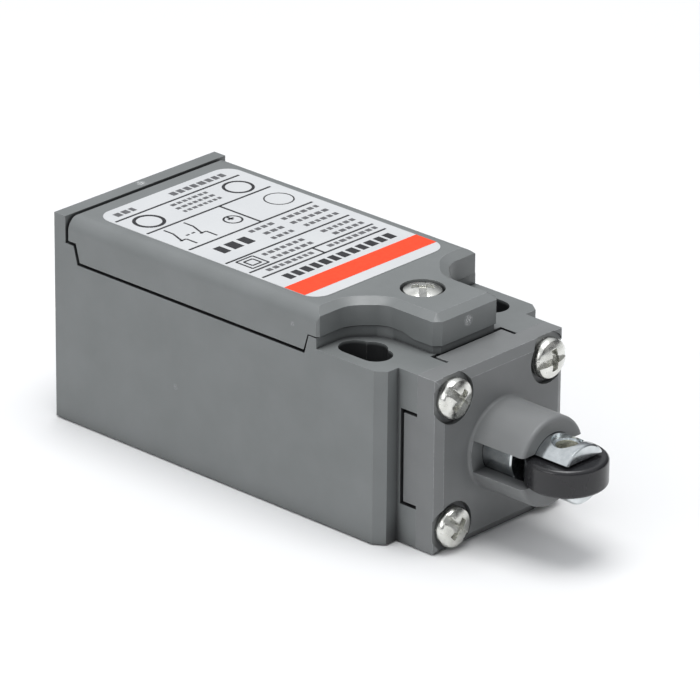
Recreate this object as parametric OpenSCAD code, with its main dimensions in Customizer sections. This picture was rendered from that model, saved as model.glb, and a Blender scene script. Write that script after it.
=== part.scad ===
// Plastic-bodied limit switch with a roller plunger head and two normally closed contacts.
// Millimetres. +Z is up from the mounting face, +Y points along the plunger to the roller,
// and the origin is on the mounting face, midway between the two mounting holes.

/* [Housing] */
// Width across the housing
body_w = 30; // [30:0.5:32]
// From the mounting holes back to the cable end
cable_end = 52.3; // [52:0.1:60]
// Height of the ledge that the mounting screws clamp
ledge_z = 24; // [24:0.1:24.4]
// Height of the lid's top
lid_z = 29.2; // [29:0.1:32]
// Height of the raised wall at the cable end
end_wall_z = 29.2; // [28:0.1:31]
// Height of the side walls under the lid's skirt
wall_z = 22.84; // [22.8:0.02:23]
// Height of the rim round the front of the lid
rim_z = 25.46; // [25.3:0.02:25.6]
// Thickness of the side walls
wall = 2.3; // [2.2:0.1:2.6]
// Thickness of the floor
floor_z = 2.4; // [2:0.1:2.4]
// Length of the cut across the flange's front corners
flange_cut = 1.5; // [1:0.1:2]

/* [Mounting holes] */
// Spacing of the two round mounting holes
round_pitch = 20; // [20:0.1:20.4]
// Spacing of the two mounting slots
slot_pitch = 22; // [21.8:0.1:22.2]
// Width of a slot, and diameter of a round hole
hole_d = 4.4; // [4.2:0.1:4.4]
// Length of a slot, end to end
slot_l = 8; // [7:0.1:8]

/* [Cable entry] */
// Core diameter of the M20 x 1.5 thread
entry_d = 18.5; // [18.2:0.1:18.6]
// Length of thread in the end wall
entry_l = 6; // [4:0.5:6]
// Height of the entry's axis
entry_z = 12.6; // [12.4:0.1:12.8]

/* [Head] */
// Side of the square head
head_w = 24; // [24:0.1:24.2]
// Height of the plunger's axis
axis_z = 12; // [12:0.05:12.1]
// Spacing of the head screws, both ways
screw_pitch = 17.8; // [17.6:0.1:18]
// Radius of the turret at its base
turret_base_r = 6.15; // [6.1:0.05:6.4]
// Radius of the turret at its end
turret_end_r = 6.1; // [5.9:0.05:6.1]
// From the mounting holes to the turret's end
turret_y = 22.25; // [22:0.05:22.8]
// Width of the slot that the roller slides in
turret_slot = 4.35; // [4.3:0.05:4.5]

/* [Plunger and roller] */
// Radius of the plunger
plunger_r = 4; // [3.9:0.05:4]
// From the mounting holes to the plunger's end
plunger_y = 27.7; // [27.5:0.1:28]
// From the mounting holes to the roller's axis
roller_y = 24.6; // [24.5:0.1:24.8]
// Radius of the roller
roller_r = 5.4; // [5.2:0.1:5.5]
// Thickness of the roller
roller_t = 3.85; // [3.6:0.05:3.9]
// Width of the fork's gap
fork_gap = 4.25; // [4.25:0.05:4.4]
// Full travel of the plunger
travel = 5; // [4:0.5:5]

/* [Contact block] */
// Spacing of the two contact pairs
pair_pitch = 9; // [9:0.1:9.4]
// Half distance between the left and right contact tips
tip_x = 7.6; // [7.4:0.1:7.8]
// Half distance between the left and right terminal screws
terminal_x = 8.6; // [8.4:0.1:8.8]

/* [Hidden] */
$fn = 64;
eps = 0.01;
fit = 0.05;

// Plan of the housing
half_w = body_w / 2;
end_y = -cable_end;
flange_y = 6.6;
end_wall_t = 2.05;
lid_gap = 0.56;
lid_back_y = end_y + end_wall_t + lid_gap;
lid_front_y = -4.6;
rim_inset = 0.25;

// Joint line between lid and housing, seen from the side
skirt_front_y = -6.9;
skirt_front_top_y = -6.18;
skirt_back_y = end_y + 4.25;
skirt_back_top_y = end_y + 3.55;
back_shelf_z = 25.4;
joint_gap = 0.46;
rim_gap = 0.16;
tongue_drop = 0.5;
tongue_drop_y = [1.8, 3.6];
flange_cut_w = 1.05;

// Tongue of the lid, which holds the lid screw
tongue_half = 6;
tongue_y = 7.7;
tongue_cut = 0.9;
shoulder = 4.85;
shoulder_r = 4;
tongue_r = 3;
corner_cut = 0.35;
chamfer_in = 1.25;
chamfer_z = 0.75;
lid_round = 2;
lid_back_round = 0.3;
lid_screw_y = -0.4;
lid_screw_r = 2.65;
lid_screw_h = 1.6;
lid_screw_sink = 1.2;
rabbet_half = 13.9;
rabbet_back_y = -47.4;
rabbet_front_y = -7.6;
rabbet_z = 24.3;
gasket_w = 1.1;
lid_hollow_half = 12.6;
lid_hollow_z = 26.9;

// Cavity and plunger channel in the housing
cavity_half = half_w - wall;
cavity_front_y = -9.2;
cavity_back_y = end_y + entry_l;
channel_r = 6;
channel_back_y = -7.5;
stem_hole_r = 2.7;

// Head
neck_half = head_w / 2;
neck_front_y = 7.1;
post_front_y = 9.9;
tab_half = 6.4;
tab_gap = 0.25;
post_w = neck_half - tab_half - tab_gap;
tab_back_y = 7.7;
head_front_y = 12.7;
face_edge_y = 12.85;
face_y = 13.5;
face_bevel = 1.2;
screw_half = screw_pitch / 2;
pocket_r = 3.45;
head_screw_r = 2.75;
head_screw_h = 1.95;
head_screw_slot = 1;
// turns of the head screws: lower left, upper left, lower right, upper right
head_screw_turns = [20, 5, -45, -45];
turret_fillet = 0.4;
turret_round = 0.6;
turret_slot_back_y = roller_y - roller_r - travel - 0.3;
seal_front_y = 11.5;
seal_back_y = 9.3;
seal_cavity_r = 6.3;
retainer_back_y = 8.5;

// Plunger
flange_front_y = retainer_back_y - fit;
plunger_flange_r = 5.4;
plunger_flange_t = 1.2;
stem_r = 2.4;
stem_back_y = -9.7;
fork_back_y = 18.7;
fork_mouth = 0.2;
pin_r = 1.5;
pin_recess_r = 2.05;
pin_end_z = 15.15;
roller_drop = 0.16;
roller_chamfer = 0.35;

// Contact block
frame_half = 12.3;
frame_front_y = -10.4;
frame_back_y = -31.6;
frame_floor_z = floor_z + fit;
frame_floor_t = 1.6;
frame_wall = 1.6;
deck_z = 17.5;
deck_t = 3.1;
deck_inner_x = 4.9;
tower_half = 3.8;
tower_back_y = -40.2;
tower_top_z = 16.6;
carrier_half = 3.2;
carrier_half_z = 3;
carrier_front_y = -9.9;
carrier_back_y = -30;
pair_y = -15.5;
bridge_t = 0.8;
bridge_half = 9.2;
bridge_half_z = 1.5;
tip_t = 0.6;
tip_gap = 0.02;
tip_r = 1.3;
contact_spring_l = 3.5;
strip_t = 1;
strip_inner_x = 5.6;
strip_outer_x = 10.4;
terminal_l = 8;
clamp_t = 0.8;
clamp_gap = 0.4;
clamp_half = 2.9;
clamp_lip = 0.3;
screw_back = 4.2;
terminal_screw_r = 1.7;
rib_t = 0.6;
rail_t = 1.3;
rib_y = [pair_y - 5.55, frame_back_y + rib_t];
frame_screw_x = 8.6;
frame_screw_y = -33.9;
ear_half = 2.4;
ear_t = 2;

// Sections of the wires of the springs
plunger_wire = 0.9;
carrier_wire = 0.5;
contact_wire = 0.4;

grey_plastic = "#76797b";
black_plastic = "#232427";
zinc = "#c9ccc8";
brass = "#c2a35a";
copper = "#b87345";
silver = "#dcdcd8";
rubber = "#1c1c1e";
white_plastic = "#dcd9cf";
label_white = "#f0f0ee";

// Points on a quarter circle, turning left from the angle start
function arc(centre, r, start) =
    [for (a = [start : 7.5 : start + 90]) centre + r * [cos(a), sin(a)]];

// A box between its lowest and highest corners
module box(low, high) {
    translate(low) cube(high - low);
}

// A cylinder along +Y from y0 to y1
module y_rod(r, y0, y1, x = 0, z = axis_z) {
    translate([x, y0, z]) rotate([-90, 0, 0]) cylinder(r = r, h = y1 - y0);
}

// A cylinder along +Z from z0 to z1
module z_rod(r, z0, z1, x = 0, y = 0) {
    translate([x, y, z0]) cylinder(r = r, h = z1 - z0);
}

// Extrudes a (y, z) outline across the part, from -half to +half in X
module across(half) {
    rotate([90, 0, 90]) translate([0, 0, -half]) linear_extrude(2 * half) children();
}

// Left and right copies
module both_sides() {
    children();
    mirror([1, 0, 0]) children();
}

// The four corners of the head, about the plunger's axis
module at_corners(half) {
    for (sx = [-1, 1]) for (sz = [-1, 1]) translate([sx * half, 0, axis_z + sz * half]) children();
}

// Where bridge i stands along Y, and the back face of the fixed contact in front of it
function bridge_y(i) = pair_y - i * pair_pitch;
function leg_y(i) = bridge_y(i) + bridge_t / 2 + 2 * tip_t;

// Height of a coil spring's wire at u, from 0 to 1, with its end turns closed
function coil_rise(u, turns, wire, length) =
    let (t = u * turns, closed = min(t, 1) + max(0, t - turns + 1))
    wire / 2 + closed * wire + (length - 3 * wire) * max(0, min(1, (t - 1) / (turns - 2)));
function coil_point(u, turns, mean_r, wire, length) =
    [mean_r * cos(360 * turns * u), mean_r * sin(360 * turns * u), coil_rise(u, turns, wire, length)];

// A round-wire compression spring standing on z = 0
module coil_spring(mean_r, wire, length, turns) {
    sides = 8;
    steps = round(turns * 14);
    points = [for (i = [0 : steps]) for (k = [0 : sides - 1])
        let (u = i / steps, c = coil_point(u, turns, mean_r, wire, length), a = 360 * k / sides)
        c + wire / 2 * (cos(a) * [cos(360 * turns * u), sin(360 * turns * u), 0] + sin(a) * [0, 0, 1])];
    walls = [for (i = [0 : steps - 1]) for (k = [0 : sides - 1])
        let (n = (k + 1) % sides)
        [i * sides + k, (i + 1) * sides + k, (i + 1) * sides + n, i * sides + n]];
    start = [for (k = [0 : sides - 1]) k];
    finish = [for (k = [sides - 1 : -1 : 0]) steps * sides + k];
    polyhedron(points = points, faces = concat(walls, [start, finish]));
}

// A spring along +Y from y0 to y1, on the plunger's axis
module y_spring(mean_r, wire, y0, y1, turns) {
    translate([0, y0, axis_z]) rotate([-90, 0, 0]) coil_spring(mean_r, wire, y1 - y0, turns);
}

// A pan head standing on z = 0, with a cross recess and a slot across it
module pan_head(r, h, slot_w) {
    difference() {
        rotate_extrude() intersection() {
            translate([0, h - 2.2 * r]) circle(r = 2.2 * r);
            polygon([[0, 0], [0.93 * r, 0], [r, 0.22 * h], [r, 0.5 * h], [0.9 * r, 0.78 * h], [0.62 * r, h],
                [0, h]]);
        }
        translate([-r, -slot_w / 2, 0.58 * h]) cube([2 * r, slot_w, h]);
        translate([-slot_w / 2, -0.55 * r, 0.42 * h]) cube([slot_w, 1.1 * r, h]);
        translate([-0.55 * r, -slot_w / 2, 0.42 * h]) cube([1.1 * r, slot_w, h]);
    }
}

// Plan of the housing, with cut front corners on its flange
module housing_plan() {
    cut_x = half_w - flange_cut_w;
    cut_y = flange_y - flange_cut;
    polygon([
        [-half_w, end_y], [half_w, end_y], [half_w, cut_y], [cut_x, flange_y], [-cut_x, flange_y],
        [-half_w, cut_y]
    ]);
}

// The housing seen from the side, with the line that the lid's skirt meets
module housing_profile() {
    polygon([
        [end_y, 0], [flange_y, 0], [flange_y, ledge_z],
        [lid_front_y - rim_inset, ledge_z], [lid_front_y - rim_inset, rim_z],
        [skirt_front_top_y, rim_z], [skirt_front_y, wall_z], [skirt_back_y, wall_z],
        [skirt_back_top_y, back_shelf_z], [end_y + end_wall_t, back_shelf_z],
        [end_y + end_wall_t, end_wall_z], [end_y, end_wall_z]
    ]);
}

// Line of the rim's top at height z, which steps down under the lid's tongue
function rim_line(z) =
    [[tongue_drop_y[0], z], [tongue_drop_y[1], z - tongue_drop], [tongue_y + 1, z - tongue_drop]];

// Right half of the lid's outline, from its side to the tongue's tip, moved inwards by inset.
// Its hollow corners are arcs about points outside the lid, so they grow with the inset.
function half_outline(inset) =
    let (
        side = tongue_half - inset,
        tip = tongue_y - inset,
        cut = tongue_cut - (2 - sqrt(2)) * inset,
        shoulder_c = [shoulder + shoulder_r * (sqrt(2) - 1) - lid_front_y, lid_front_y + shoulder_r],
        tongue_c = [tongue_half + tongue_r, shoulder + tongue_r * (sqrt(2) - 1) - tongue_half],
    )
    concat(
        [[half_w, lid_front_y - inset - corner_cut], [half_w - corner_cut, lid_front_y - inset]],
        [for (a = [270 : -5 : 225]) shoulder_c + (shoulder_r + inset) * [cos(a), sin(a)]],
        [for (a = [225 : -5 : 180]) tongue_c + (tongue_r + inset) * [cos(a), sin(a)]],
        [[side, tip - cut], [side - cut, tip]]
    );

// The whole outline, closed along a straight back at y = back
function lid_outline(inset, back) =
    let (right = half_outline(inset), n = len(right))
    concat([[-half_w, back], [half_w, back]], right,
        [for (i = [n - 1 : -1 : 0]) [-right[i][0], right[i][1]]]);

// One mounting hole: a slot joined to a round hole nearer the middle
module mounting_hole_plan() {
    slot_end = (slot_l - hole_d) / 2;
    for (s = [-1, 1]) translate([slot_pitch / 2, s * slot_end]) circle(d = hole_d);
    translate([(slot_pitch - hole_d) / 2, -slot_end]) square([hole_d, 2 * slot_end]);
    translate([round_pitch / 2, 0]) circle(d = hole_d);
}

module base_housing() {
    color(grey_plastic) difference() {
        union() {
            intersection() {
                linear_extrude(lid_z) housing_plan();
                across(half_w) housing_profile();
            }
            intersection() {
                linear_extrude(lid_z) polygon(lid_outline(rim_inset, skirt_front_top_y + eps));
                across(half_w) polygon(concat([[tongue_y, ledge_z - eps], [end_y, ledge_z - eps]],
                    [[end_y, rim_z]], rim_line(rim_z)));
            }
            box([-neck_half, flange_y - eps, 0], [neck_half, neck_front_y, head_w]);
            at_corners(neck_half - post_w / 2)
                box([-post_w / 2, flange_y, -post_w / 2], [post_w / 2, post_front_y, post_w / 2]);
        }
        box([-cavity_half, cavity_back_y, floor_z], [cavity_half, cavity_front_y, lid_z]);
        y_rod(entry_d / 2, end_y - eps, cavity_back_y + eps, z = entry_z);
        y_rod(channel_r, channel_back_y, post_front_y + eps);
        y_rod(stem_hole_r, cavity_front_y - eps, channel_back_y + eps);
        both_sides() translate([0, 0, -eps]) linear_extrude(ledge_z + 2 * eps) mounting_hole_plan();
        both_sides() z_rod(1.1, 0.9, floor_z + eps, x = frame_screw_x, y = frame_screw_y);
        at_corners(screw_half) rotate([-90, 0, 0]) z_rod(1.5, 5, post_front_y + eps);
        z_rod(2.35, 19.7, rim_z + eps, y = lid_screw_y);
        z_rod(3.1, 24.8, rim_z + eps, y = lid_screw_y);
    }
}

// The turret's outside, with a hollow fillet at its foot and a rounded end
module turret_body() {
    start = head_front_y - 1;
    length = turret_y - start;
    foot = face_y - start;
    foot_r = turret_base_r + turret_fillet;
    round_x = turret_end_r - turret_round;
    round_y = length - turret_round;
    translate([0, start, axis_z]) rotate([-90, 0, 0]) rotate_extrude() {
        polygon(concat(
            [[0, 0], [foot_r, 0]],
            [for (a = [270 : -15 : 180]) [foot_r, foot + turret_fillet] + turret_fillet * [cos(a), sin(a)]],
            [[turret_end_r, round_y], [round_x, round_y], [round_x, length], [0, length]]
        ));
        translate([round_x, round_y]) circle(r = turret_round);
    }
}

// The head's face, bevelled towards its edges
module head_face() {
    flat = neck_half - face_bevel;
    hull() {
        box([-neck_half, head_front_y - eps, 0], [neck_half, face_edge_y, head_w]);
        box([-flat, head_front_y, axis_z - flat], [flat, face_y, axis_z + flat]);
    }
}

module head_housing() {
    tab = tab_half - tab_gap;
    color(grey_plastic) difference() {
        union() {
            box([-neck_half, post_front_y, 0], [neck_half, head_front_y, head_w]);
            box([-tab, tab_back_y, 0], [tab, post_front_y + eps, head_w]);
            box([-neck_half, tab_back_y, axis_z - tab], [neck_half, post_front_y + eps, axis_z + tab]);
            head_face();
            turret_body();
        }
        y_rod(plunger_r + fit, seal_front_y - eps, turret_y + eps);
        y_rod(seal_cavity_r, tab_back_y - eps, seal_front_y);
        box([-half_w, turret_slot_back_y, axis_z - turret_slot / 2],
            [half_w, turret_y + eps, axis_z + turret_slot / 2]);
        at_corners(screw_half) rotate([-90, 0, 0]) z_rod(1.6, post_front_y - eps, head_front_y + eps);
        at_corners(screw_half) rotate([-90, 0, 0]) z_rod(pocket_r, head_front_y, turret_y);
    }
}

// Flat seal between the neck and the head
module head_gasket() {
    reach = neck_half - 0.5;
    arm = tab_half - 0.5;
    color(rubber) difference() {
        union() {
            box([-arm, neck_front_y, 0.5], [arm, tab_back_y, head_w - 0.5]);
            box([-reach, neck_front_y, axis_z - arm], [reach, tab_back_y, axis_z + arm]);
        }
        y_rod(seal_cavity_r, neck_front_y - eps, tab_back_y + eps);
    }
}

module head_screws() {
    color(zinc) for (i = [0 : 3]) {
        x = i < 2 ? -screw_half : screw_half;
        z = i % 2 == 0 ? axis_z - screw_half : axis_z + screw_half;
        y_rod(1.45, 5.2, head_front_y + 0.2, x = x, z = z);
        translate([x, head_front_y, z]) rotate([-90, 0, 0]) rotate([0, 0, head_screw_turns[i]])
            pan_head(head_screw_r, head_screw_h, head_screw_slot);
    }
}

// Lip seal that wipes the plunger
module plunger_seal() {
    color(rubber) translate([0, 0, axis_z]) rotate([90, 0, 0]) mirror([0, 0, 1]) rotate_extrude()
        polygon([
            [plunger_r + fit, seal_front_y - 0.1], [plunger_r + 0.7, seal_front_y - 0.1],
            [plunger_r + 1.1, seal_front_y - 1.1], [seal_cavity_r - 0.7, seal_front_y - 1.1],
            [seal_cavity_r - 0.5, seal_front_y - 0.1], [seal_cavity_r, seal_front_y - 0.1],
            [seal_cavity_r, seal_back_y], [plunger_r + 0.5, seal_back_y],
            [plunger_r + 0.5, seal_back_y + 0.6], [plunger_r + fit, seal_front_y - 0.6]
        ]);
}

// Washer that keeps the lip seal in the head and stops the plunger
module seal_retainer() {
    color(zinc) difference() {
        y_rod(seal_cavity_r, retainer_back_y, seal_back_y);
        y_rod(plunger_r + 0.2, retainer_back_y - eps, seal_back_y + eps);
    }
}

// Threaded brass insert for the lid screw
module lid_nut_insert() {
    color(brass) difference() {
        z_rod(2.35, 19.8, 24.8, y = lid_screw_y);
        z_rod(1.5, 19.7, 24.9, y = lid_screw_y);
    }
}

// Insulating frame that holds the fixed contacts and guides the carrier
module contact_frame() {
    top = deck_z;
    color(black_plastic) difference() {
        union() {
            box([-frame_half, frame_back_y, frame_floor_z],
                [frame_half, frame_front_y, frame_floor_z + frame_floor_t]);
            both_sides() box([frame_half - frame_wall, frame_back_y, frame_floor_z],
                [frame_half, frame_front_y, top]);
            both_sides() box([deck_inner_x, frame_back_y, top - deck_t], [frame_half, frame_front_y, top]);
            box([-frame_half, frame_front_y - frame_wall, frame_floor_z], [frame_half, frame_front_y, top]);
            box([-tower_half - frame_wall, tower_back_y, frame_floor_z],
                [tower_half + frame_wall, frame_back_y + eps, tower_top_z]);
            // rails under the carrier and beside its lower edges
            box([-2, frame_back_y, frame_floor_z], [2, frame_front_y, axis_z - carrier_half_z - fit]);
            both_sides() box([carrier_half + fit, frame_back_y, frame_floor_z],
                [carrier_half + fit + rail_t, frame_front_y, axis_z - bridge_half_z - 0.6]);
            both_sides() for (y = rib_y)
                box([strip_inner_x, y - rib_t, top - eps], [frame_half, y, top + 2.4]);
            both_sides() box([frame_screw_x - ear_half, frame_screw_y - ear_half, frame_floor_z],
                [frame_screw_x + ear_half, frame_back_y + eps, frame_floor_z + ear_t]);
        }
        // the carrier's guide, from the front wall through to the spring tower
        box([-carrier_half - fit, tower_back_y + frame_wall, axis_z - carrier_half_z - fit],
            [carrier_half + fit, frame_front_y + eps, axis_z + carrier_half_z + fit]);
        // slots that the contact strips drop into
        both_sides() for (y = [leg_y(0), leg_y(1)])
            box([strip_inner_x - fit, y - fit, 9], [strip_outer_x + fit, y + strip_t + fit, top + eps]);
        // holes for the screws that hold the frame down
        both_sides() translate([frame_screw_x, frame_screw_y, 0])
            z_rod(1.2, frame_floor_z - eps, frame_floor_z + ear_t + eps);
        // wells under the terminal screws
        both_sides() for (y = [leg_y(0), leg_y(1)])
            z_rod(terminal_screw_r + 0.2, top - 2.4, top + eps, x = terminal_x, y = y - screw_back);
    }
}

module frame_screws() {
    z = frame_floor_z + ear_t;
    color(zinc) both_sides() {
        z_rod(1.1, 1, z + 0.2, x = frame_screw_x, y = frame_screw_y);
        translate([frame_screw_x, frame_screw_y, z]) pan_head(2, 1.5, 0.6);
    }
}

// Terminal strip: a plate under the terminal screw and a leg down to the contact tip
module fixed_contact(index, side) {
    y = leg_y(index);
    color(brass) mirror([side < 0 ? 1 : 0, 0, 0]) difference() {
        union() {
            box([strip_inner_x, y - terminal_l + strip_t, deck_z],
                [frame_half - 0.3, y + strip_t, deck_z + strip_t]);
            box([strip_inner_x, y, axis_z - 1.9], [strip_outer_x, y + strip_t, deck_z + eps]);
        }
        translate([terminal_x, y - screw_back, 0])
            z_rod(terminal_screw_r + fit, deck_z - eps, deck_z + strip_t + eps);
    }
}

module fixed_contact_left_front() fixed_contact(0, -1);
module fixed_contact_left_rear() fixed_contact(1, -1);
module fixed_contact_right_front() fixed_contact(0, 1);
module fixed_contact_right_rear() fixed_contact(1, 1);

module fixed_contact_tips() {
    color(silver) both_sides() for (i = [0, 1]) y_rod(tip_r, leg_y(i) - tip_t, leg_y(i), x = tip_x);
}

// Square clamp plates under the terminal screws
module terminal_clamps() {
    z = deck_z + strip_t + clamp_gap;
    color(zinc) both_sides() for (i = [0, 1]) translate([terminal_x, leg_y(i) - screw_back, z]) difference() {
        union() {
            box([-clamp_half, -clamp_half, 0], [clamp_half, clamp_half, clamp_t]);
            both_sides()
                box([clamp_half - clamp_lip, -clamp_half, -clamp_lip], [clamp_half, clamp_half, eps]);
        }
        z_rod(terminal_screw_r + 0.15, -1, clamp_t + eps);
    }
}

module terminal_screws() {
    z = deck_z + strip_t + clamp_gap + clamp_t;
    color(zinc) both_sides() for (i = [0, 1]) translate([terminal_x, leg_y(i) - screw_back, 0]) {
        z_rod(terminal_screw_r, deck_z - 2.2, z + 0.2);
        translate([0, 0, z]) pan_head(2.85, 1.9, 0.8);
    }
}

// Return spring round the plunger's stem
module plunger_spring() {
    color(zinc) y_spring(3.9, plunger_wire, channel_back_y, flange_front_y - plunger_flange_t, 8);
}

// Return spring behind the contact carrier
module carrier_spring() {
    color(zinc) y_spring(2, carrier_wire, tower_back_y + frame_wall, carrier_back_y, 6);
}

// Plunger: fork, body, stop flange and the stem that pushes the contact carrier
module roller_plunger() {
    color(zinc) difference() {
        translate([0, stem_back_y, axis_z]) rotate([-90, 0, 0]) rotate_extrude() polygon([
            [0, 0], [stem_r - 0.5, 0], [stem_r, 0.5],
            [stem_r, flange_front_y - plunger_flange_t - stem_back_y],
            [plunger_flange_r, flange_front_y - plunger_flange_t - stem_back_y],
            [plunger_flange_r, flange_front_y - stem_back_y], [plunger_r, flange_front_y - stem_back_y],
            [plunger_r, plunger_y - 0.2 - stem_back_y], [plunger_r - 0.2, plunger_y - stem_back_y],
            [0, plunger_y - stem_back_y]
        ]);
        box([-half_w, fork_back_y, axis_z - fork_gap / 2], [half_w, plunger_y + eps, axis_z + fork_gap / 2]);
        intersection() {
            translate([0, fork_back_y, axis_z]) rotate([-90, 0, 0]) rotate_extrude()
                polygon([[plunger_r - fork_mouth, eps], [plunger_r + eps, eps],
                    [plunger_r + eps, -fork_mouth]]);
            box([-half_w, fork_back_y - 1, axis_z - fork_gap / 2],
                [half_w, plunger_y, axis_z + fork_gap / 2]);
        }
        z_rod(pin_r, axis_z - plunger_r - eps, axis_z + plunger_r + eps, y = roller_y);
        z_rod(pin_recess_r, pin_end_z, axis_z + plunger_r + eps, y = roller_y);
        z_rod(pin_recess_r, axis_z - plunger_r - eps, 2 * axis_z - pin_end_z, y = roller_y);
    }
}

// Flat-ended rivet pin that the roller turns on
module roller_pin() {
    color(zinc) z_rod(pin_r, 2 * axis_z - pin_end_z, pin_end_z, y = roller_y);
}

module roller() {
    half = roller_t / 2;
    edge_r = roller_r - roller_chamfer;
    edge_z = half - roller_chamfer;
    color(black_plastic) translate([0, roller_y, axis_z - roller_drop]) rotate_extrude() polygon([
        [pin_r + fit, -half], [edge_r, -half], [roller_r, -edge_z],
        [roller_r, edge_z], [edge_r, half], [pin_r + fit, half]
    ]);
}

// Insulating bar that carries the two moving contacts
module contact_carrier() {
    color(white_plastic) difference() {
        box([-carrier_half, carrier_back_y, axis_z - carrier_half_z],
            [carrier_half, carrier_front_y, axis_z + carrier_half_z]);
        for (i = [0, 1]) {
            y = bridge_y(i);
            box([-half_w, y - bridge_t / 2 - contact_spring_l, axis_z - bridge_half_z - 0.4],
                [half_w, y + bridge_t / 2 + 0.25, axis_z + bridge_half_z + 0.4]);
        }
    }
}

// Springy copper bridge between a left and a right contact
module moving_contact(index) {
    y = bridge_y(index);
    color(copper) box([-bridge_half, y - bridge_t / 2, axis_z - bridge_half_z],
        [bridge_half, y + bridge_t / 2, axis_z + bridge_half_z]);
}

module moving_contact_front() moving_contact(0);
module moving_contact_rear() moving_contact(1);

module moving_contact_tips() {
    color(silver) both_sides() for (i = [0, 1])
        y_rod(tip_r, bridge_y(i) + bridge_t / 2, bridge_y(i) + bridge_t / 2 + tip_t - tip_gap, x = tip_x);
}

// Springs that press the bridges onto the fixed contacts
module contact_springs() {
    color(zinc) for (i = [0, 1]) {
        y = bridge_y(i) - bridge_t / 2;
        y_spring(1.3, contact_wire, y - contact_spring_l, y, 5);
    }
}

// The lid's outline as a block, with its top edge chamfered along the front and the tongue.
// Its flat ends are cut into strips across it, as the outline is hollow at the shoulders.
module lid_block() {
    foot = lid_outline(0, lid_back_y);
    top = lid_outline(chamfer_in, lid_back_y);
    n = len(foot);
    half_n = (n - 2) / 2;
    points = concat([for (p = foot) [p[0], p[1], 0]], [for (p = foot) [p[0], p[1], lid_z - chamfer_z]],
        [for (p = top) [p[0], p[1], lid_z]]);
    walls = [for (ring = [0, n]) for (i = [0 : n - 1])
        [ring + i, ring + n + i, ring + n + (i + 1) % n, ring + (i + 1) % n]];
    bottom = concat([[0, 1, 2, n - 1], [2, 3, 4], [2, 4, n - 3, n - 1], [n - 3, n - 2, n - 1]],
        [for (i = [4 : half_n]) [i, i + 1, n - i, n + 1 - i]]);
    lid_top = [for (face = bottom) [for (k = [len(face) - 1 : -1 : 0]) 2 * n + face[k]]];
    polyhedron(points = points, faces = concat(walls, bottom, lid_top), convexity = 4);
}

// The lid seen from the side: its skirt, its round back edge and the underside of its tongue
module lid_profile() {
    gap = joint_gap;
    edge = [lid_back_y + lid_back_round, lid_z - lid_back_round];
    polygon(concat([
        [lid_back_y, back_shelf_z + gap], [skirt_back_top_y + gap, back_shelf_z + gap],
        [skirt_back_y + gap, wall_z + gap], [skirt_front_y - rim_gap, wall_z + gap],
        [skirt_front_top_y - rim_gap, rim_z + rim_gap]
    ], rim_line(rim_z + rim_gap), [[tongue_y + 1, lid_z]], arc(edge, lid_back_round, 90)));
}

// The lid's end view, with its round top edges
module lid_section() {
    middle = half_w - lid_round;
    polygon(concat([[-half_w, 0], [half_w, 0]], arc([middle, lid_z - lid_round], lid_round, 0),
        arc([-middle, lid_z - lid_round], lid_round, 90)));
}

module lid() {
    color(grey_plastic) difference() {
        intersection() {
            lid_block();
            across(half_w + 1) lid_profile();
            rotate([90, 0, 0]) translate([0, 0, -tongue_y - 1])
                linear_extrude(cable_end + 2 * tongue_y) lid_section();
        }
        box([-rabbet_half, rabbet_back_y, wall_z - 1], [rabbet_half, rabbet_front_y, rabbet_z]);
        box([-lid_hollow_half, cavity_back_y, wall_z - 1],
            [lid_hollow_half, cavity_front_y - 0.4, lid_hollow_z]);
        z_rod(1.75, rim_z - 1, lid_z + 1, y = lid_screw_y);
        z_rod(lid_screw_r + 0.3, lid_z - lid_screw_sink - 0.1, lid_z + 1, y = lid_screw_y);
    }
}

// Rectangular seal on the top of the housing's walls
module lid_gasket() {
    color(rubber) difference() {
        box([-rabbet_half + 0.1, rabbet_back_y + 0.1, wall_z],
            [rabbet_half - 0.1, rabbet_front_y - 0.1, rabbet_z]);
        box([-rabbet_half + gasket_w, rabbet_back_y + gasket_w, wall_z - 1],
            [rabbet_half - gasket_w, rabbet_front_y - gasket_w, rabbet_z + 1]);
    }
}

module lid_screw() {
    head = lid_z - lid_screw_sink;
    color(zinc) {
        z_rod(1.45, 20.2, head + 0.2, y = lid_screw_y);
        translate([0, lid_screw_y, head]) rotate([0, 0, 44]) pan_head(lid_screw_r, lid_screw_h, 1);
    }
}

// Ring that keeps the loosened screw in the lid
module lid_screw_ring() {
    color(zinc) difference() {
        z_rod(2.6, 25, 25.5, y = lid_screw_y);
        z_rod(1.5, 24.9, 25.6, y = lid_screw_y);
    }
}

module label() {
    label_half = 12.4;
    label_t = 0.1;
    corner = 2.5;
    back = end_y + 5;
    front = end_y + 45;
    color(label_white) translate([0, 0, lid_z]) linear_extrude(label_t) {
        translate([-label_half, back + corner]) square([2 * label_half, front - back - 2 * corner]);
        translate([corner - label_half, back]) square([2 * (label_half - corner), front - back]);
        both_sides() for (y = [back + corner, front - corner])
            translate([label_half - corner, y]) circle(r = corner);
    }
}

base_housing();
head_housing();
head_gasket();
head_screws();
plunger_seal();
seal_retainer();
lid_nut_insert();
contact_frame();
frame_screws();
fixed_contact_left_front();
fixed_contact_left_rear();
fixed_contact_right_front();
fixed_contact_right_rear();
fixed_contact_tips();
terminal_clamps();
terminal_screws();
plunger_spring();
carrier_spring();
roller_plunger();
roller_pin();
roller();
contact_carrier();
moving_contact_front();
moving_contact_rear();
moving_contact_tips();
contact_springs();
lid();
lid_gasket();
lid_screw();
lid_screw_ring();
label();
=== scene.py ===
"""Looks of the limit switch: grey plastic with wear, pale edges that are partly painted highlight, painted
shade in its hollows and joints, bright screws and plunger, and a printed label.
"""

import math
import random

import bmesh
import bpy
from mathutils import Matrix, Vector


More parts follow.
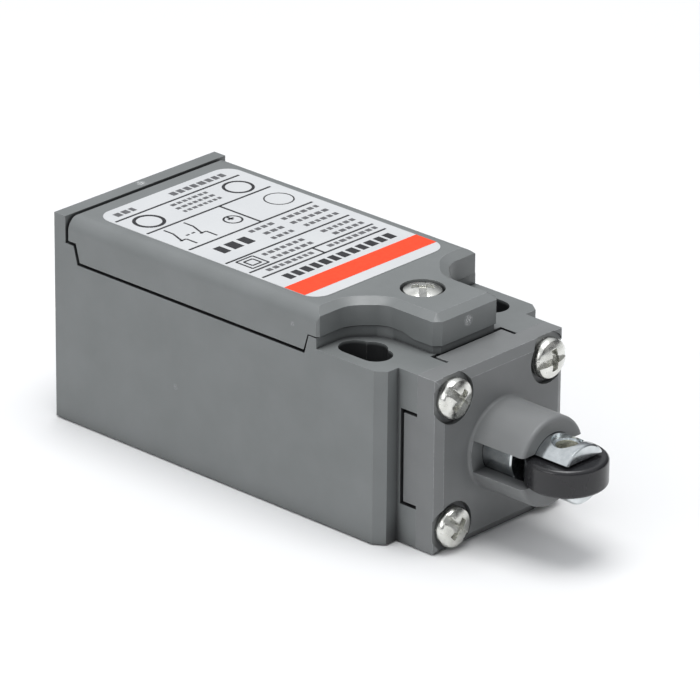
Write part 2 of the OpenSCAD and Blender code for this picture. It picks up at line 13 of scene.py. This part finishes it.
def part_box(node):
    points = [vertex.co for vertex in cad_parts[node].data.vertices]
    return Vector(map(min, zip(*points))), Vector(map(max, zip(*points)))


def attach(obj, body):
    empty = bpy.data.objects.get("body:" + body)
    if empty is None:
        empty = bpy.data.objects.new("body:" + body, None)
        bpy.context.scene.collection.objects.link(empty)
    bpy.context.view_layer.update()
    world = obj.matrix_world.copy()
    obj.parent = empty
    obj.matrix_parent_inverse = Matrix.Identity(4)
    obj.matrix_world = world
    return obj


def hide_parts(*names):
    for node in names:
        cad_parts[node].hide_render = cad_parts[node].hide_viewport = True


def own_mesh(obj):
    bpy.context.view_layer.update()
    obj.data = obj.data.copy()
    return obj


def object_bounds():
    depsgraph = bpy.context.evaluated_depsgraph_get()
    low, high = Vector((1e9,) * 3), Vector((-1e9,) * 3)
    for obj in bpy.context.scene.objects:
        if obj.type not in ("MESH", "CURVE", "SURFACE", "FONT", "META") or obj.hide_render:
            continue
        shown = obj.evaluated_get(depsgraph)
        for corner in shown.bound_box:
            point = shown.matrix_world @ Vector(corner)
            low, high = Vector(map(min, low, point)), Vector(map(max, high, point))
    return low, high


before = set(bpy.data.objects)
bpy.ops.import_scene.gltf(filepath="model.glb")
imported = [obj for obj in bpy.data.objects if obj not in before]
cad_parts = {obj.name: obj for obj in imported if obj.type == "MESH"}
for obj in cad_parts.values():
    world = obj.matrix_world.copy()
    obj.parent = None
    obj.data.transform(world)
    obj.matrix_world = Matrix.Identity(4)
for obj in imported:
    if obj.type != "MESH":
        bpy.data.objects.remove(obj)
cad_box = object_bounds()

MM = 0.001
SEED = 7
rng = random.Random(SEED)

# where noise is cut: the bulk of its values lie between these
NOISE_LOW, NOISE_HIGH = 0.3, 0.7
SPECKLE_LOW, SPECKLE_HIGH, SPECKLE_MM = 0.46, 0.54, 0.22


# ---------------------------------------------------------------- materials


def new_material(name, colour, roughness, metallic=0.0, coat=0.0):
    """A Principled material; returns it with its node tree and shader."""
    mat = bpy.data.materials.new(name)
    mat.use_nodes = True
    tree = mat.node_tree
    shader = tree.nodes["Principled BSDF"]
    shader.inputs["Base Color"].default_value = (*colour, 1)
    shader.inputs["Roughness"].default_value = roughness
    shader.inputs["Metallic"].default_value = metallic
    shader.inputs["Coat Weight"].default_value = coat
    return mat, tree, shader


def noise(tree, scale_mm, detail, stretch=(1, 1, 1)):
    """Noise in the object's own frame, with features about scale_mm across."""
    coords = tree.nodes.new("ShaderNodeTexCoord")
    mapping = tree.nodes.new("ShaderNodeMapping")
    mapping.inputs["Scale"].default_value = [s / (scale_mm * MM) for s in stretch]
    node = tree.nodes.new("ShaderNodeTexNoise")
    node.inputs["Scale"].default_value = 1.0
    node.inputs["Detail"].default_value = detail
    tree.links.new(coords.outputs["Object"], mapping.inputs["Vector"])
    tree.links.new(mapping.outputs["Vector"], node.inputs["Vector"])
    return node.outputs["Fac"]


def spread(tree, fac, low, high, start=NOISE_LOW, end=NOISE_HIGH):
    """Maps a value running from start to end onto low to high."""
    node = tree.nodes.new("ShaderNodeMapRange")
    node.inputs["From Min"].default_value = start
    node.inputs["From Max"].default_value = end
    node.inputs["To Min"].default_value = low
    node.inputs["To Max"].default_value = high
    tree.links.new(fac, node.inputs["Value"])
    return node.outputs["Result"]


def two_tone(tree, shader, fac, dark, light):
    """Base colour that drifts between two shades."""
    ramp = tree.nodes.new("ShaderNodeValToRGB")
    ramp.color_ramp.elements[0].position = NOISE_LOW
    ramp.color_ramp.elements[0].color = (*dark, 1)
    ramp.color_ramp.elements[1].position = NOISE_HIGH
    ramp.color_ramp.elements[1].color = (*light, 1)
    tree.links.new(fac, ramp.inputs["Fac"])
    tree.links.new(ramp.outputs["Color"], shader.inputs["Base Color"])


def add_bump(tree, shader, height, strength, depth_mm, below=None):
    """Bump of depth_mm, stacked on an earlier bump if one is given."""
    bump = tree.nodes.new("ShaderNodeBump")
    bump.inputs["Strength"].default_value = strength
    bump.inputs["Distance"].default_value = depth_mm * MM
    tree.links.new(height, bump.inputs["Height"])
    if below:
        tree.links.new(below, bump.inputs["Normal"])
    tree.links.new(bump.outputs["Normal"], shader.inputs["Normal"])
    return bump.outputs["Normal"]


def near(tree, centre_mm, radius_mm):
    """1 at a point in the object's frame, falling to 0 at radius_mm."""
    coords = tree.nodes.new("ShaderNodeTexCoord")
    gap = tree.nodes.new("ShaderNodeVectorMath")
    gap.operation = "DISTANCE"
    gap.inputs[1].default_value = [c * MM for c in centre_mm]
    tree.links.new(coords.outputs["Object"], gap.inputs[0])
    fade = tree.nodes.new("ShaderNodeMapRange")
    fade.inputs["From Max"].default_value = radius_mm * MM
    fade.inputs["To Min"].default_value = 1
    fade.inputs["To Max"].default_value = 0
    tree.links.new(gap.outputs["Value"], fade.inputs["Value"])
    return fade.outputs["Result"]


def blend_base(tree, shader, amount, colour):
    """Lays colour over the base colour so far, as far as amount says."""
    mix = tree.nodes.new("ShaderNodeMix")
    mix.data_type = "RGBA"
    base = shader.inputs["Base Color"]
    tree.links.new(base.links[0].from_socket, mix.inputs["A"])
    mix.inputs["B"].default_value = (*colour, 1)
    tree.links.new(amount, mix.inputs["Factor"])
    tree.links.new(mix.outputs["Result"], base)


def add_speckled_mark(tree, shader, centre_mm, radius_mm, colour):
    """A rough mark: speckles of colour that thin out from its centre. It draws scuffs, and painted
    highlights on the lid.
    """
    speckle = spread(tree, noise(tree, SPECKLE_MM, 3), 0, 1, SPECKLE_LOW, SPECKLE_HIGH)
    amount = tree.nodes.new("ShaderNodeMath")
    amount.operation = "MULTIPLY"
    tree.links.new(near(tree, centre_mm, radius_mm), amount.inputs[0])
    tree.links.new(speckle, amount.inputs[1])
    blend_base(tree, shader, amount.outputs["Value"], colour)


def darken_crevices(tree, shader, reach_mm, colour, low, high):
    """Painted shade where walls within reach_mm shut the surface in, with some grime in the joints: full
    at an openness of low, none at high.
    """
    shelter = tree.nodes.new("ShaderNodeAmbientOcclusion")
    shelter.samples = SHELTER_SAMPLES
    shelter.inputs["Distance"].default_value = reach_mm * MM
    blend_base(tree, shader, spread(tree, shelter.outputs["AO"], 1, 0, low, high), colour)


def paint_hole_shade(tree, shader, colour):
    """Near-black painted shade on the walls of the two mounting holes: an oval column on each side, below
    the ledge.
    """
    coords = tree.nodes.new("ShaderNodeTexCoord")
    split = tree.nodes.new("ShaderNodeSeparateXYZ")
    tree.links.new(coords.outputs["Object"], split.inputs["Vector"])

    def math_node(operation, first, second):
        node = tree.nodes.new("ShaderNodeMath")
        node.operation = operation
        for socket, value in zip(node.inputs, (first, second)):
            if isinstance(value, (int, float)):
                socket.default_value = value
            else:
                tree.links.new(value, socket)
        return node.outputs["Value"]

    def reach(offset, half_mm):
        """0 in the middle, 1 at half_mm, rising steeply, so that the sum of two makes a squarish oval."""
        share = math_node("ABSOLUTE", math_node("DIVIDE", offset, half_mm * MM), 0)
        return math_node("POWER", share, HOLE_SQUARENESS)

    from_middle = math_node("SUBTRACT", math_node("ABSOLUTE", split.outputs["X"], 0), HOLE_X * MM)
    across, along = reach(from_middle, HOLE_HALF_X), reach(split.outputs["Y"], HOLE_HALF_Y)
    inside = spread(tree, math_node("ADD", across, along), 1, 0, *HOLE_RIM)
    below = spread(tree, split.outputs["Z"], 1, 0, *((LEDGE_Z - drop) * MM for drop in HOLE_FADE))
    blend_base(tree, shader, math_node("MULTIPLY", inside, below), colour)


def plastic(name, dark, light, roughness, grain_mm=0.18, depth_mm=0.012, blotch_mm=7,
            scuffs_and_highlights=(), holes=False, dirt_and_shade=None):
    """Moulded plastic: drifting shade, fine spark-eroded grain and a satin gloss."""
    mat, tree, shader = new_material(name, light, roughness)
    two_tone(tree, shader, noise(tree, blotch_mm, 5), dark, light)
    # speckled marks: scuffs, and on the lid painted highlights
    for centre, radius, colour in scuffs_and_highlights:
        add_speckled_mark(tree, shader, centre, radius, colour)
    # near-black painted shade inside the mounting holes
    if holes:
        paint_hole_shade(tree, shader, HOLE_SHADE_COLOUR)
    # painted shade in crevices and sheltered corners, with some grime in the joints
    if dirt_and_shade:
        crevices, corners = dirt_and_shade
        darken_crevices(tree, shader, CREVICE_REACH, CREVICE_COLOUR, *crevices)
        darken_crevices(tree, shader, SHELTER_REACH, SHELTER_COLOUR, *corners)
    gloss = spread(tree, noise(tree, 3, 4), roughness - 0.05, roughness + 0.07)
    tree.links.new(gloss, shader.inputs["Roughness"])
    coarse = add_bump(tree, shader, noise(tree, 2.6, 3), 0.35, depth_mm * 1.5)
    add_bump(tree, shader, noise(tree, grain_mm, 2), 0.6, depth_mm, coarse)
    return mat


def metal(name, dark, light, roughness, stretch=(1, 1, 1), grain_mm=0.5, depth_mm=0.004):
    """Bright metal with faint handling marks, or drawn or turned lines if stretched."""
    mat, tree, shader = new_material(name, light, roughness, metallic=1.0)
    two_tone(tree, shader, noise(tree, 1.6, 4), dark, light)
    lines = noise(tree, grain_mm, 3, stretch)
    tree.links.new(spread(tree, lines, roughness - 0.06, roughness + 0.1), shader.inputs["Roughness"])
    add_bump(tree, shader, lines, 0.5, depth_mm)
    return mat


def rubber():
    mat, tree, shader = new_material("rubber_black", (0.02, 0.02, 0.022), 0.7)
    two_tone(tree, shader, noise(tree, 2, 3), (0.014, 0.014, 0.015), (0.028, 0.028, 0.03))
    add_bump(tree, shader, noise(tree, 0.12, 2), 0.5, 0.01)
    return mat


def label_film():
    """White printed film: a faint orange-peel gloss and a little yellowing."""
    mat, tree, shader = new_material("label_white", (0.8, 0.8, 0.79), 0.32, coat=0.3)
    two_tone(tree, shader, noise(tree, 9, 4), (0.57, 0.58, 0.59), (0.61, 0.62, 0.625))
    add_bump(tree, shader, noise(tree, 0.7, 2), 0.3, 0.004)
    return mat


def ink(name, dark, light, roughness):
    """Printing ink with a slightly uneven laydown."""
    mat, tree, shader = new_material(name, light, roughness)
    shader.inputs["Specular IOR Level"].default_value = 0.3
    two_tone(tree, shader, noise(tree, 0.5, 3), dark, light)
    return mat


GREY_DARK, GREY_LIGHT = (0.153, 0.163, 0.162), (0.173, 0.183, 0.183)
# pale speckled edges: partly wear, partly painted highlight
EDGE_DARK, EDGE_LIGHT = (0.18, 0.188, 0.192), (0.50, 0.51, 0.51)
PALE_MARK = (0.72, 0.73, 0.73)
# near-black painted shade in joints and narrow gaps, and a milder painted shade in sheltered corners
CREVICE_COLOUR, CREVICE_REACH = (0.014, 0.015, 0.016), 0.8
SHELTER_COLOUR, SHELTER_REACH = (0.030, 0.031, 0.032), 6.0
SHELTER_SAMPLES = 12
# how open a spot is where the painted shade (with some grime in the joints) is full and where it ends, for
# joints and for corners
DIRT_AND_SHADE = (0.3, 0.8), (0.3, 0.62)
LID_DIRT_AND_SHADE = (0.3, 0.8), (0.22, 0.56)
HEAD_DIRT_AND_SHADE = (0.1, 0.45), (0.1, 0.45)
HOUSING_SCUFFS = [((-0.1, -51.3, 29.2), 0.8, PALE_MARK), ((15, -30, 11), 0.5, (0.27, 0.28, 0.28))]
# the two mounting holes, in mm: distance from the middle, half sizes, and the ledge they open in
HOLE_X, HOLE_HALF_X, HOLE_HALF_Y, LEDGE_Z = 10.5, 2.75, 4.05, 24
HOLE_SQUARENESS, HOLE_RIM, HOLE_FADE = 4, (1.6, 2.0), (0.5, 0.1)
# near-black colour of the painted shade inside the mounting holes
HOLE_SHADE_COLOUR = (0.02, 0.021, 0.022)
# painted highlights on the lid, drawn as pale speckled spots: one at the middle of the tongue's tip, a
# dimmer one low on the near side
LID_PAINTED_HIGHLIGHTS = [((0.2, 7.7, 27.2), 0.9, PALE_MARK), ((14.9, -9, 26.2), 0.5, (0.3, 0.31, 0.31))]

MATERIALS = {
    "housing_grey": plastic("housing_grey", GREY_DARK, GREY_LIGHT, 0.43, scuffs_and_highlights=HOUSING_SCUFFS,
                            holes=True, dirt_and_shade=DIRT_AND_SHADE),
    "lid_grey": plastic("lid_grey", GREY_DARK, GREY_LIGHT, 0.39, scuffs_and_highlights=LID_PAINTED_HIGHLIGHTS, dirt_and_shade=LID_DIRT_AND_SHADE),
    # pale edge material: partly wear, partly painted highlight
    "housing_edge": plastic("housing_edge", EDGE_DARK, EDGE_LIGHT, 0.4, blotch_mm=0.45, dirt_and_shade=DIRT_AND_SHADE),
    "head_grey": plastic("head_grey", (0.160, 0.165, 0.166), (0.182, 0.188, 0.189), 0.46,
                         dirt_and_shade=HEAD_DIRT_AND_SHADE),
    "insulator_black": plastic("insulator_black", (0.02, 0.02, 0.022), (0.032, 0.032, 0.035), 0.5),
    "carrier_ivory": plastic("carrier_ivory", (0.60, 0.57, 0.48), (0.68, 0.65, 0.56), 0.45),
    "roller_black": plastic("roller_black", (0.010, 0.010, 0.011), (0.017, 0.017, 0.019), 0.24,
                            grain_mm=0.4, depth_mm=0.002),
    "zinc_steel": metal("zinc_steel", (0.58, 0.58, 0.54), (0.82, 0.82, 0.78), 0.2),
    "polished_steel": metal("polished_steel", (0.50, 0.53, 0.54), (0.72, 0.75, 0.76), 0.16,
                            stretch=(6, 1, 6), grain_mm=0.6),
    "pin_steel": metal("pin_steel", (0.26, 0.25, 0.18), (0.40, 0.39, 0.30), 0.22),
    "spring_steel": metal("spring_steel", (0.42, 0.42, 0.42), (0.58, 0.58, 0.57), 0.3),
    "brass": metal("brass", (0.56, 0.42, 0.18), (0.72, 0.56, 0.27), 0.3),
    "copper": metal("copper", (0.52, 0.25, 0.13), (0.70, 0.36, 0.20), 0.28),
    "contact_silver": metal("contact_silver", (0.70, 0.70, 0.68), (0.86, 0.86, 0.84), 0.25),
    "rubber_black": rubber(),
    "label_white": label_film(),
    "ink_red": ink("ink_red", (0.78, 0.052, 0.012), (0.86, 0.062, 0.016), 0.6),
    "ink_dark": ink("ink_dark", (0.014, 0.014, 0.016), (0.030, 0.030, 0.033), 0.45),
    "ink_grey": ink("ink_grey", (0.085, 0.085, 0.09), (0.13, 0.13, 0.135), 0.4),
}


# ---------------------------------------------------------------- CAD nodes


WELD_MM, FLAT_DEG = 0.002, 0.5
BEVEL_SEGMENTS, BEVEL_DEG, NORMAL_WEIGHT = 2, 28, 50


def finish_node(name, material, edge_mm, edge_material):
    """Gives a CAD node its material and small rounded edges; its mesh stays as it is."""
    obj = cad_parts[name]
    obj.data.materials.clear()
    obj.data.materials.append(MATERIALS[material])
    if edge_material:
        obj.data.materials.append(MATERIALS[edge_material])
    weld = obj.modifiers.new("weld", "WELD")
    weld.merge_threshold = WELD_MM * MM
    flat = obj.modifiers.new("flat", "DECIMATE")
    flat.decimate_type = "DISSOLVE"
    flat.angle_limit = math.radians(FLAT_DEG)
    if edge_mm:
        bevel = obj.modifiers.new("edges", "BEVEL")
        bevel.width = edge_mm * MM
        bevel.segments = BEVEL_SEGMENTS
        bevel.limit_method = "ANGLE"
        bevel.angle_limit = math.radians(BEVEL_DEG)
        # the bevelled edges take the pale edge material: partly wear, partly painted highlight
        if edge_material:
            bevel.material = 1
    smooth = obj.modifiers.new("smooth", "WEIGHTED_NORMAL")
    smooth.weight = NORMAL_WEIGHT
    for polygon in obj.data.polygons:
        polygon.use_smooth = True


# material, edge radius in mm, material of the pale edge: partly wear, partly painted highlight
NODE_LOOKS = {
    "base_housing": ("housing_grey", 0.12, "housing_edge"),
    "head_housing": ("head_grey", 0.12, "housing_edge"),
    "lid": ("lid_grey", 0.09, "housing_edge"),
    "head_gasket": ("rubber_black", 0.08, None),
    "plunger_seal": ("rubber_black", 0.05, None),
    "lid_gasket": ("rubber_black", 0.15, None),
    "roller": ("roller_black", 0.15, None),
    "roller_plunger": ("polished_steel", 0.12, None),
    "roller_pin": ("pin_steel", 0.08, None),
    "head_screws": ("zinc_steel", 0.06, None),
    "lid_screw": ("zinc_steel", 0.06, None),
    "lid_screw_ring": ("zinc_steel", 0.05, None),
    "seal_retainer": ("zinc_steel", 0.05, None),
    "lid_nut_insert": ("brass", 0.1, None),
    "contact_frame": ("insulator_black", 0.12, None),
    "frame_screws": ("zinc_steel", 0.06, None),
    "fixed_contact_left_front": ("brass", 0.06, None),
    "fixed_contact_left_rear": ("brass", 0.06, None),
    "fixed_contact_right_front": ("brass", 0.06, None),
    "fixed_contact_right_rear": ("brass", 0.06, None),
    "fixed_contact_tips": ("contact_silver", 0.08, None),
    "moving_contact_tips": ("contact_silver", 0.08, None),
    "terminal_clamps": ("zinc_steel", 0.08, None),
    "terminal_screws": ("zinc_steel", 0.06, None),
    "moving_contact_front": ("copper", 0.06, None),
    "moving_contact_rear": ("copper", 0.06, None),
    "contact_carrier": ("carrier_ivory", 0.12, None),
    "contact_springs": ("spring_steel", 0, None),
}

for node_name, (look, edge, wear_and_highlight) in NODE_LOOKS.items():
    finish_node(node_name, look, edge, wear_and_highlight)


# ---------------------------------------------------------------- return springs

STEPS_A_TURN, WIRE_SIDES = 40, 16


def return_spring(node, wire_mm, turns):
    """A round-wire spring along Y in place of a CAD spring."""
    low, high = (Vector(corner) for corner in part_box(node))
    centre_x, centre_z = (low.x + high.x) / 2, (low.z + high.z) / 2
    wire = wire_mm * MM
    start, length = low.y, high.y - low.y
    mean_r = (high.x - low.x) / 2 - wire / 2
    steps = round(turns * STEPS_A_TURN)
    mesh = bmesh.new()
    rings = []
    for i in range(steps + 1):
        t = turns * i / steps
        closed = min(t, 1) + max(0, t - turns + 1)
        open_part = max(0, min(1, (t - 1) / (turns - 2)))
        y = start + wire / 2 + closed * wire + (length - 3 * wire) * open_part
        spin = 2 * math.pi * t
        out = Vector((math.cos(spin), 0, -math.sin(spin)))
        section = []
        for k in range(WIRE_SIDES):
            a = 2 * math.pi * k / WIRE_SIDES
            point = out * (mean_r + wire / 2 * math.cos(a)) + Vector((centre_x, y, centre_z))
            point.y = min(max(point.y + wire / 2 * math.sin(a), low.y), high.y)
            section.append(mesh.verts.new(point))
        rings.append(section)
    for first, second in zip(rings, rings[1:]):
        for k in range(WIRE_SIDES):
            n = (k + 1) % WIRE_SIDES
            mesh.faces.new((first[k], first[n], second[n], second[k]))
    mesh.faces.new(list(reversed(rings[0])))
    mesh.faces.new(rings[-1])
    bmesh.ops.recalc_face_normals(mesh, faces=mesh.faces)
    data = bpy.data.meshes.new(node + "_wire")
    mesh.to_mesh(data)
    mesh.free()
    for polygon in data.polygons:
        polygon.use_smooth = len(polygon.vertices) == 4
    obj = bpy.data.objects.new(node + "_wire", data)
    bpy.context.scene.collection.objects.link(obj)
    data.materials.append(MATERIALS["spring_steel"])
    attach(obj, "housing")
    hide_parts(node)
    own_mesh(obj)


return_spring("plunger_spring", 0.9, 8)
return_spring("carrier_spring", 0.5, 6)


# ---------------------------------------------------------------- label printing

LABEL_LOW, LABEL_HIGH = (Vector(corner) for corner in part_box("label"))
LABEL_W = (LABEL_HIGH.x - LABEL_LOW.x) / MM
LABEL_L = (LABEL_HIGH.y - LABEL_LOW.y) / MM
INK_DROP, FILM_DROP = 0.005, 0.025
INK_TOP = LABEL_HIGH.z - INK_DROP * MM
FILM_TOP = LABEL_HIGH.z - FILM_DROP * MM
STROKE = 0.34
THIN = STROKE * 0.8
RING_SIDES, CORNER_STEPS = 24, 8

# rows of bars: height, shortest and longest bar, and the gap between bars
WORD = (0.75, 0.6, 1.0, 0.35)
SMALL_WORD = (0.6, 0.5, 0.9, 0.3)
WIDE_WORD = (1.1, 0.7, 1.1, 0.35)
HEADING = (1.7, 1.1, 1.5, 0.5)
LARGE_HEADING = (2.2, 1.2, 1.8, 0.7)


def print_mesh(name, outlines, material, bottom, top):
    """Thin flat pieces from outlines in mm, measured from the label's corner."""
    mesh = bmesh.new()
    for outline in outlines:
        lower = [mesh.verts.new((LABEL_LOW.x + x * MM, LABEL_LOW.y + y * MM, bottom))
                 for x, y in outline]
        upper = [mesh.verts.new((v.co.x, v.co.y, top)) for v in lower]
        mesh.faces.new(list(reversed(lower)))
        mesh.faces.new(upper)
        for i in range(len(lower)):
            k = (i + 1) % len(lower)
            mesh.faces.new((lower[i], lower[k], upper[k], upper[i]))
    bmesh.ops.recalc_face_normals(mesh, faces=mesh.faces)
    data = bpy.data.meshes.new(name)
    mesh.to_mesh(data)
    mesh.free()
    obj = bpy.data.objects.new(name, data)
    bpy.context.scene.collection.objects.link(obj)
    data.materials.append(MATERIALS[material])
    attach(obj, "lid")
    return obj


def print_ink(name, outlines, material):
    return print_mesh(name, outlines, material, FILM_TOP, INK_TOP)


def bar(x0, y0, x1, y1):
    return [(x0, y0), (x1, y0), (x1, y1), (x0, y1)]


def stroke(x0, y0, x1, y1, width=STROKE):
    """A straight line with square ends."""
    length = math.hypot(x1 - x0, y1 - y0)
    nx, ny = -(y1 - y0) / length * width / 2, (x1 - x0) / length * width / 2
    return [(x0 - nx, y0 - ny), (x1 - nx, y1 - ny), (x1 + nx, y1 + ny), (x0 + nx, y0 + ny)]


def round_rectangle(width, length, radius):
    points = []
    corners = ((width - radius, radius, -90), (width - radius, length - radius, 0),
               (radius, length - radius, 90), (radius, radius, 180))
    for cx, cy, start in corners:
        for i in range(CORNER_STEPS + 1):
            a = math.radians(start + 90 * i / CORNER_STEPS)
            points.append((cx + radius * math.cos(a), cy + radius * math.sin(a)))
    return points


def closed_line(points, width):
    return [stroke(*points[i], *points[(i + 1) % len(points)], width) for i in range(len(points))]


def ring(cx, cy, radius, width=THIN):
    turn = 2 * math.pi / RING_SIDES
    points = [(cx + radius * math.cos(turn * i), cy + radius * math.sin(turn * i))
              for i in range(RING_SIDES)]
    return closed_line(points, width)


def filler(x0, x1, y, height, shortest, longest, gap):
    """Plain bars of different lengths along a line, where the real label has lettering."""
    bars, x = [], x0
    while x < x1 - shortest:
        end = min(x + rng.uniform(shortest, longest), x1)
        bars.append(bar(x, y, end, y + height))
        x = end + gap
    return bars


film_outline = round_rectangle(LABEL_W, LABEL_L, 2.5)
film = print_mesh("label_film", [film_outline], "label_white", LABEL_LOW.z, FILM_TOP)
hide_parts("label")

print_ink("label_band", [bar(0.03, 34.3, LABEL_W - 0.03, 37.9)], "ink_red")

RULES_Y = (3.4, 9.2, 16.9, 23.5, 27.8, 30.1)
rules = [bar(1.3, y - STROKE / 2, LABEL_W - 0.4, y + STROKE / 2) for y in RULES_Y]
rules.append(bar(12.6, 27.8, 12.6 + STROKE, 30.1))
rules.append(bar(10.8, 9.2, 10.8 + STROKE, 16.9))
print_ink("label_rules", rules, "ink_dark")

# a diagram of two linked contacts, and the part that works them
symbols = ring(13.0, 13.7, 1.25) + [stroke(13.0, 13.7, 13.0, 12.5), stroke(12.5, 13.3, 13.5, 13.3)]
for contact_x in (18.3, 22.0):
    symbols += [stroke(contact_x, 9.9, contact_x, 11.6, THIN),
                stroke(contact_x, 11.6, contact_x + 0.9, 14.2, THIN),
                stroke(contact_x, 14.0, contact_x, 16.0, THIN),
                stroke(contact_x, 14.0, contact_x + 1.1, 14.0, THIN)]
symbols += [stroke(x, 13.2, x + 0.6, 13.2, THIN) for x in (19.6, 20.6)]
print_ink("label_symbols", symbols, "ink_dark")

# plain rings and a square in a square, where the real label has marks
marks = ring(21.1, 6.3, 2.0, 0.5) + ring(4.4, 6.3, 2.0, 0.42) + ring(3.6, 13.0, 2.0, 0.2)
for half in (1.5, 0.8):
    corners = [(21.6 + sx * half, 25.6 + sy * half) for sx, sy in ((-1, -1), (1, -1), (1, 1), (-1, 1))]
    marks += closed_line(corners, THIN)
print_ink("label_marks", marks, "ink_dark")

bold = filler(2.2, 22.4, 31.3, *HEADING) + filler(16.2, 22.6, 18.8, *LARGE_HEADING)
print_ink("label_bold_filler", bold, "ink_dark")

words = filler(1.8, 11.4, 28.5, *WORD) + filler(13.8, 23.2, 28.5, *WORD)
for y in (24.5, 26.1):
    words += filler(1.8, 8.0, y, *WORD) + filler(11.4, 18.9, y, *WORD)
for y in (17.9, 19.7, 21.5):
    words += filler(1.8, 8.6, y, *WORD) + filler(10.2, 14.6, y, *WORD)
for y in (4.3, 5.6, 6.9):
    words += filler(8.6, 15.6, y, *SMALL_WORD)
words += filler(2.6, 13.6, 1.3, *WIDE_WORD) + filler(19.4, 23.0, 1.3, *WIDE_WORD)
print_ink("label_filler", words, "ink_grey")


# ---------------------------------------------------------------- stage

FLOOR_HALF, FLOOR_DROP = 3.0, 0.0002
SKY_LEAN, SKY_STRENGTH = (0.20, -0.22, 1.0), 0.9
# where on the lean each sky colour stands
SKY_STOPS = ((0.0, (0.10, 0.10, 0.105)), (0.3, (0.33, 0.34, 0.36)), (0.65, (0.95, 0.97, 1.0)))
AIM = (0, -0.012, 0.015)
# name, place in metres, side in metres, watts
SOFTBOXES = (
    ("top_softbox", (0.0, 0.0, 0.6), 0.35, 2.35),
    ("front_softbox", (-0.25, 0.5, 0.25), 0.35, 0.12),
    ("side_softbox", (0.55, -0.05, 0.25), 0.3, 0.55),
)
CAMERA_PLACE = (0.5463, 0.4983, 0.3421)
CAMERA_BACK, CAMERA_ROLL_DEG = (0.6696, 0.6267, 0.3988), 0.49
CAMERA_LENS, CAMERA_SENSOR, CAMERA_FAR = 323.8, 36, 50


def pale_stage():
    """A large white floor under the switch."""
    mesh = bmesh.new()
    bmesh.ops.create_grid(mesh, x_segments=1, y_segments=1, size=FLOOR_HALF)
    data = bpy.data.meshes.new("floor")
    mesh.to_mesh(data)
    mesh.free()
    floor = bpy.data.objects.new("floor", data)
    bpy.context.scene.collection.objects.link(floor)
    floor.location.z = cad_box[0][2] - FLOOR_DROP
    mat, tree, shader = new_material("floor_white", (0.82, 0.82, 0.82), 0.6)
    two_tone(tree, shader, noise(tree, 60, 2), (0.815, 0.815, 0.815), (0.825, 0.825, 0.825))
    data.materials.append(mat)


def softbox(name, location, size, watts):
    """A square area light aimed at the switch."""
    lamp = bpy.data.lights.new(name, "AREA")
    lamp.shape = "RECTANGLE"
    lamp.size = lamp.size_y = size
    lamp.energy = watts
    obj = bpy.data.objects.new(name, lamp)
    bpy.context.scene.collection.objects.link(obj)
    obj.location = location
    obj.rotation_euler = (Vector(location) - Vector(AIM)).to_track_quat("Z", "Y").to_euler()


def studio():
    """A sky that is darkest low down behind the switch, and three softboxes."""
    world = bpy.data.worlds.new("studio")
    world.use_nodes = True
    tree = world.node_tree
    coords = tree.nodes.new("ShaderNodeTexCoord")
    ramp = tree.nodes.new("ShaderNodeValToRGB")
    stops = ramp.color_ramp.elements
    (low_at, low), (middle_at, middle), (high_at, high) = SKY_STOPS
    stops[0].position, stops[0].color = low_at, (*low, 1)
    stops[1].position, stops[1].color = high_at, (*high, 1)
    stops.new(middle_at).color = (*middle, 1)
    lean = tree.nodes.new("ShaderNodeVectorMath")
    lean.operation = "DOT_PRODUCT"
    lean.inputs[1].default_value = SKY_LEAN
    tree.links.new(coords.outputs["Generated"], lean.inputs[0])
    tree.links.new(lean.outputs["Value"], ramp.inputs["Fac"])
    tree.links.new(ramp.outputs["Color"], tree.nodes["Background"].inputs["Color"])
    tree.nodes["Background"].inputs["Strength"].default_value = SKY_STRENGTH
    bpy.context.scene.world = world
    for light in SOFTBOXES:
        softbox(*light)


def camera():
    """The camera, from the side of the head and above, on a long lens."""
    back = Vector(CAMERA_BACK).normalized()
    right = Vector((0, 0, 1)).cross(back).normalized()
    up = back.cross(right)
    roll = math.radians(CAMERA_ROLL_DEG)
    tilted_right = right * math.cos(roll) + up * math.sin(roll)
    tilted_up = up * math.cos(roll) - right * math.sin(roll)
    turn = Matrix((tilted_right, tilted_up, back)).transposed().to_4x4()
    lens = bpy.data.cameras.new("camera")
    lens.lens = CAMERA_LENS
    lens.sensor_width = CAMERA_SENSOR
    lens.clip_end = CAMERA_FAR
    obj = bpy.data.objects.new("camera", lens)
    bpy.context.scene.collection.objects.link(obj)
    obj.matrix_world = Matrix.Translation(CAMERA_PLACE) @ turn
    bpy.context.scene.camera = obj
    bpy.context.scene.view_settings.view_transform = "Standard"


pale_stage()
studio()
camera()
